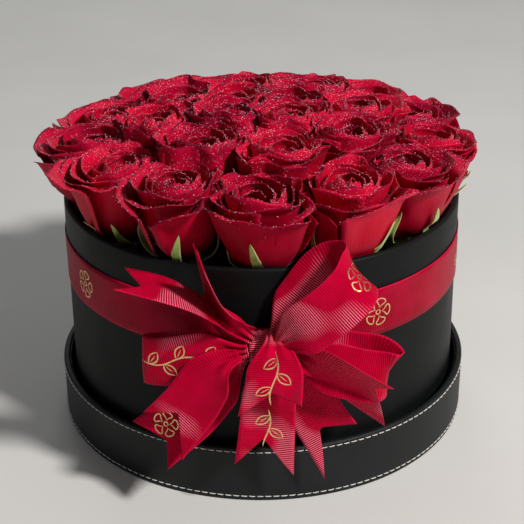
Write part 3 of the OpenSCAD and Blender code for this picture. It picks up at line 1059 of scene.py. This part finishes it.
def make_stems(places, material):
    """A cut stem under each bloom, down into the foam, with one thicker joint on it."""
    made = Builder()
    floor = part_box("rose_stems")[0].z
    around = np.linspace(0, TURN, 12, endpoint=False)[None, :]
    for here, ((mouth, side, fore, axis), _) in enumerate(places):
        top = mouth - axis * (BLOOM_H + CALYX_H - 1 * MM)
        steps = int((top[2] - floor) / (2.5 * MM))
        drop = np.linspace(0, (top[2] - floor) / axis[2], steps)[:, None]
        knuckle = np.exp(-((drop - 22 * MM - (here % 3) * 9 * MM) / (2 * MM)) ** 2)
        r = STEM_R + 0.5 * MM * knuckle + 0.06 * MM * np.sin(5 * around)
        r = r * np.where((drop == 0) | (drop == drop.max()), 0.2, 1)
        grid = carried(joined(*polar(r, around), -drop), (top, side, fore, axis))
        made.add_grid(grid, joined(drop, around * 2.5 * MM), wrap_v=True)
    made.build("rose_stems_cut", material, "insert", "rose_stems", "green_stem")


def paint(node, material, slot):
    """Puts a material on a CAD node that is shown as it is."""
    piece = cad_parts[node]
    piece.data.materials.clear()
    piece.data.materials.append(material)


# ---- Studio ----

CAMERA_AWAY = 776 * MM
CAMERA_UP = 469 * MM
CAMERA_PITCH = 25.8
CAMERA_ROLL = -0.53
CAMERA_LENS = 90.2
FLOOR_HALF = 6.0
# name, place, target, size across, power in watts, colour
LAMPS = [
    ("key_light", (1.15, -1.12, 1.62), (0, -0.02, 0.12), 0.26, 50, (1.0, 0.96, 0.93)),
    ("fill_light", (-1.5, -1.1, 0.9), (0, 0, 0.1), 1.4, 0.35, (0.88, 0.94, 1.0)),
    ("back_light", (-0.3, 1.5, 1.6), (0, 0, 0.15), 1.0, 5, (0.95, 0.98, 1.0)),
]


def make_studio():
    scene = bpy.context.scene
    given(scene.view_settings, view_transform="Standard", look="None")

    lens = given(bpy.data.cameras.new("camera"), lens=CAMERA_LENS, sensor_width=36, clip_start=0.05)
    camera = given(placed("camera", lens), location=(0, -CAMERA_AWAY, CAMERA_UP))
    pitch = Matrix.Rotation(math.radians(90 - CAMERA_PITCH), 3, "X")
    camera.rotation_euler = (pitch @ Matrix.Rotation(math.radians(CAMERA_ROLL), 3, "Z")).to_euler()
    scene.camera = camera

    world = bpy.data.worlds.new("studio")
    world.use_nodes = True
    background = world.node_tree.nodes["Background"].inputs
    background["Color"].default_value = (0.86, 0.90, 0.92, 1)
    background["Strength"].default_value = 0.13
    scene.world = world

    # A floor that bends up into a wall behind
    floor = joined(np.linspace(-FLOOR_HALF, 1.4, 30), 0)
    wall = joined(2.2, np.linspace(0.9, FLOOR_HALF, 12))
    run = np.concatenate([floor, arc_points((1.4, 0.8), 0.8, -90, 0, 16)[1:], wall])
    grid = joined(np.linspace(-FLOOR_HALF, FLOOR_HALF, 25)[:, None], run[None, :, 0], run[None, :, 1])
    made = Builder()
    made.add_grid(grid, grid[..., :2])
    paint = mottled("floor_pale", (0.70, 0.70, 0.68), (0.74, 0.74, 0.72), (6, 2), Roughness=0.7)
    made.build("studio_sweep", paint)

    for name, place, target, size, power, colour in LAMPS:
        lamp = bpy.data.lights.new(name, "AREA")
        piece = placed(name, given(lamp, shape="DISK", size=size, energy=power, color=colour))
        piece.location = place
        piece.rotation_euler = (Vector(target) - piece.location).to_track_quat("-Z", "Y").to_euler()


# ---- Assembly ----

# One leatherette in two copies: the drum's tones are darkened, painted shade, and the lid's lightened,
# painted bounce light from the floor.
drum_leatherette_painted_shade = leatherette("leatherette_shaded_drum", 0.11, 0.8)
lid_leatherette_painted_light = leatherette("leatherette_bounce_lit_lid", 0.22, 1.35)
white_thread = thread("white_thread", (0.55, 0.54, 0.50), (0.86, 0.85, 0.80))
grey_thread = thread("grey_thread", (0.14, 0.14, 0.14), (0.34, 0.34, 0.33))
# One ribbon in two copies: the bow's carries strong painted highlights on its ribs; the band's has its tones
# darkened to 0.66, painted shade, and only faint painted highlights.
bow_ribbon = grosgrain("ribbon_grosgrain_bow", 0.8, 0.24 * MM, 1.0)
band_grosgrain_painted_shade = grosgrain("grosgrain_band_darkened", 0.08, 0.08 * MM, 0.66)
foil = mottled("gold_foil", (0.78, 0.42, 0.16), (1.0, 0.72, 0.38), (900, 3), gloss=(0.28, 0.48), Metallic=1.0)
board = mottled("greyboard", (0.30, 0.285, 0.26), (0.47, 0.45, 0.41), (700, 5, 0.7), relief=(0.0002, 0.4),
                Roughness=0.9)
lining = mottled("lining_paper", (0.012, 0.012, 0.013), (0.032, 0.032, 0.034), (1500, 3, 0.6),
                 stops=(0.3, 0.75), relief=(0.00012, 0.5), Roughness=0.85)
stem_green = mottled("stem_green", (0.06, 0.14, 0.02), (0.16, 0.28, 0.06), (900, 3), relief=(0.0002, 0.5),
                     scale=(1.0, 1.0, 0.08), Roughness=0.5)
pot_plastic = mottled("pot_plastic", (0.010, 0.020, 0.014), (0.022, 0.036, 0.027), (120, 4, 0.7),
                      gloss=(0.30, 0.46), relief=(0.0001, 0.4), Specular_IOR_Level=0.5)
glitter = mottled("glitter_grains", (0.90, 0.26, 0.38), (1.0, 0.80, 0.84), (500, 1), stops=(0.35, 0.6),
                  Roughness=0.30, Specular_IOR_Level=0.8)

leather_wall("lid_side_cover", LID_R, 0.4 * MM, LID_H, LID_TURN_IN, (UPPER_ROW_Z, LOWER_ROW_Z),
             "lid", lid_leatherette_painted_light)
leather_wall("drum_side_cover", DRUM_R, DRUM_FOOT_Z, RIM_Z, DRUM_TURN_IN, (), "drum", drum_leatherette_painted_shade)
stitch_row("lid_upper_stitches", LID_R, UPPER_ROW_Z, 1, white_thread, "white_thread")
stitch_row("lid_lower_stitches", LID_R, LOWER_ROW_Z, 1, white_thread, "white_thread")
stitch_row("lid_inner_stitches", LID_R - WALL_T, UPPER_ROW_Z, -1, grey_thread, "grey_thread")

paint("lid_panel_cover", lid_leatherette_painted_light, "black_leatherette")
paint("drum_base_cover", drum_leatherette_painted_shade, "black_leatherette")
for part in ("lid_panel_board", "lid_wall_board", "drum_base_board", "drum_wall_board"):
    paint(part, board, "greyboard")
for part in ("lid_lining", "drum_lining"):
    paint(part, lining, "lining_paper")

make_band(band_grosgrain_painted_shade, foil)
make_knot(bow_ribbon)
make_bow(bow_ribbon, foil)

places = rose_places()
petal_looks = [
    petal("petal_deep", (0.16, 0.0003, 0.008), (0.44, 0.0009, 0.021), (0.52, 0.003, 0.040)),
    petal("petal_bright", (0.20, 0.0004, 0.008), (0.55, 0.0010, 0.021), (0.62, 0.004, 0.044)),
]
spots = []
blooms = [add_rose(here, places, petal_looks[here % 2], spots) for here in range(len(places))]
add_sepals(places, sepal_green())
make_stems(places, stem_green)
add_dust(spots, blooms, glitter)
make_pot(pot_plastic)
make_foam(wet_foam())
make_studio()
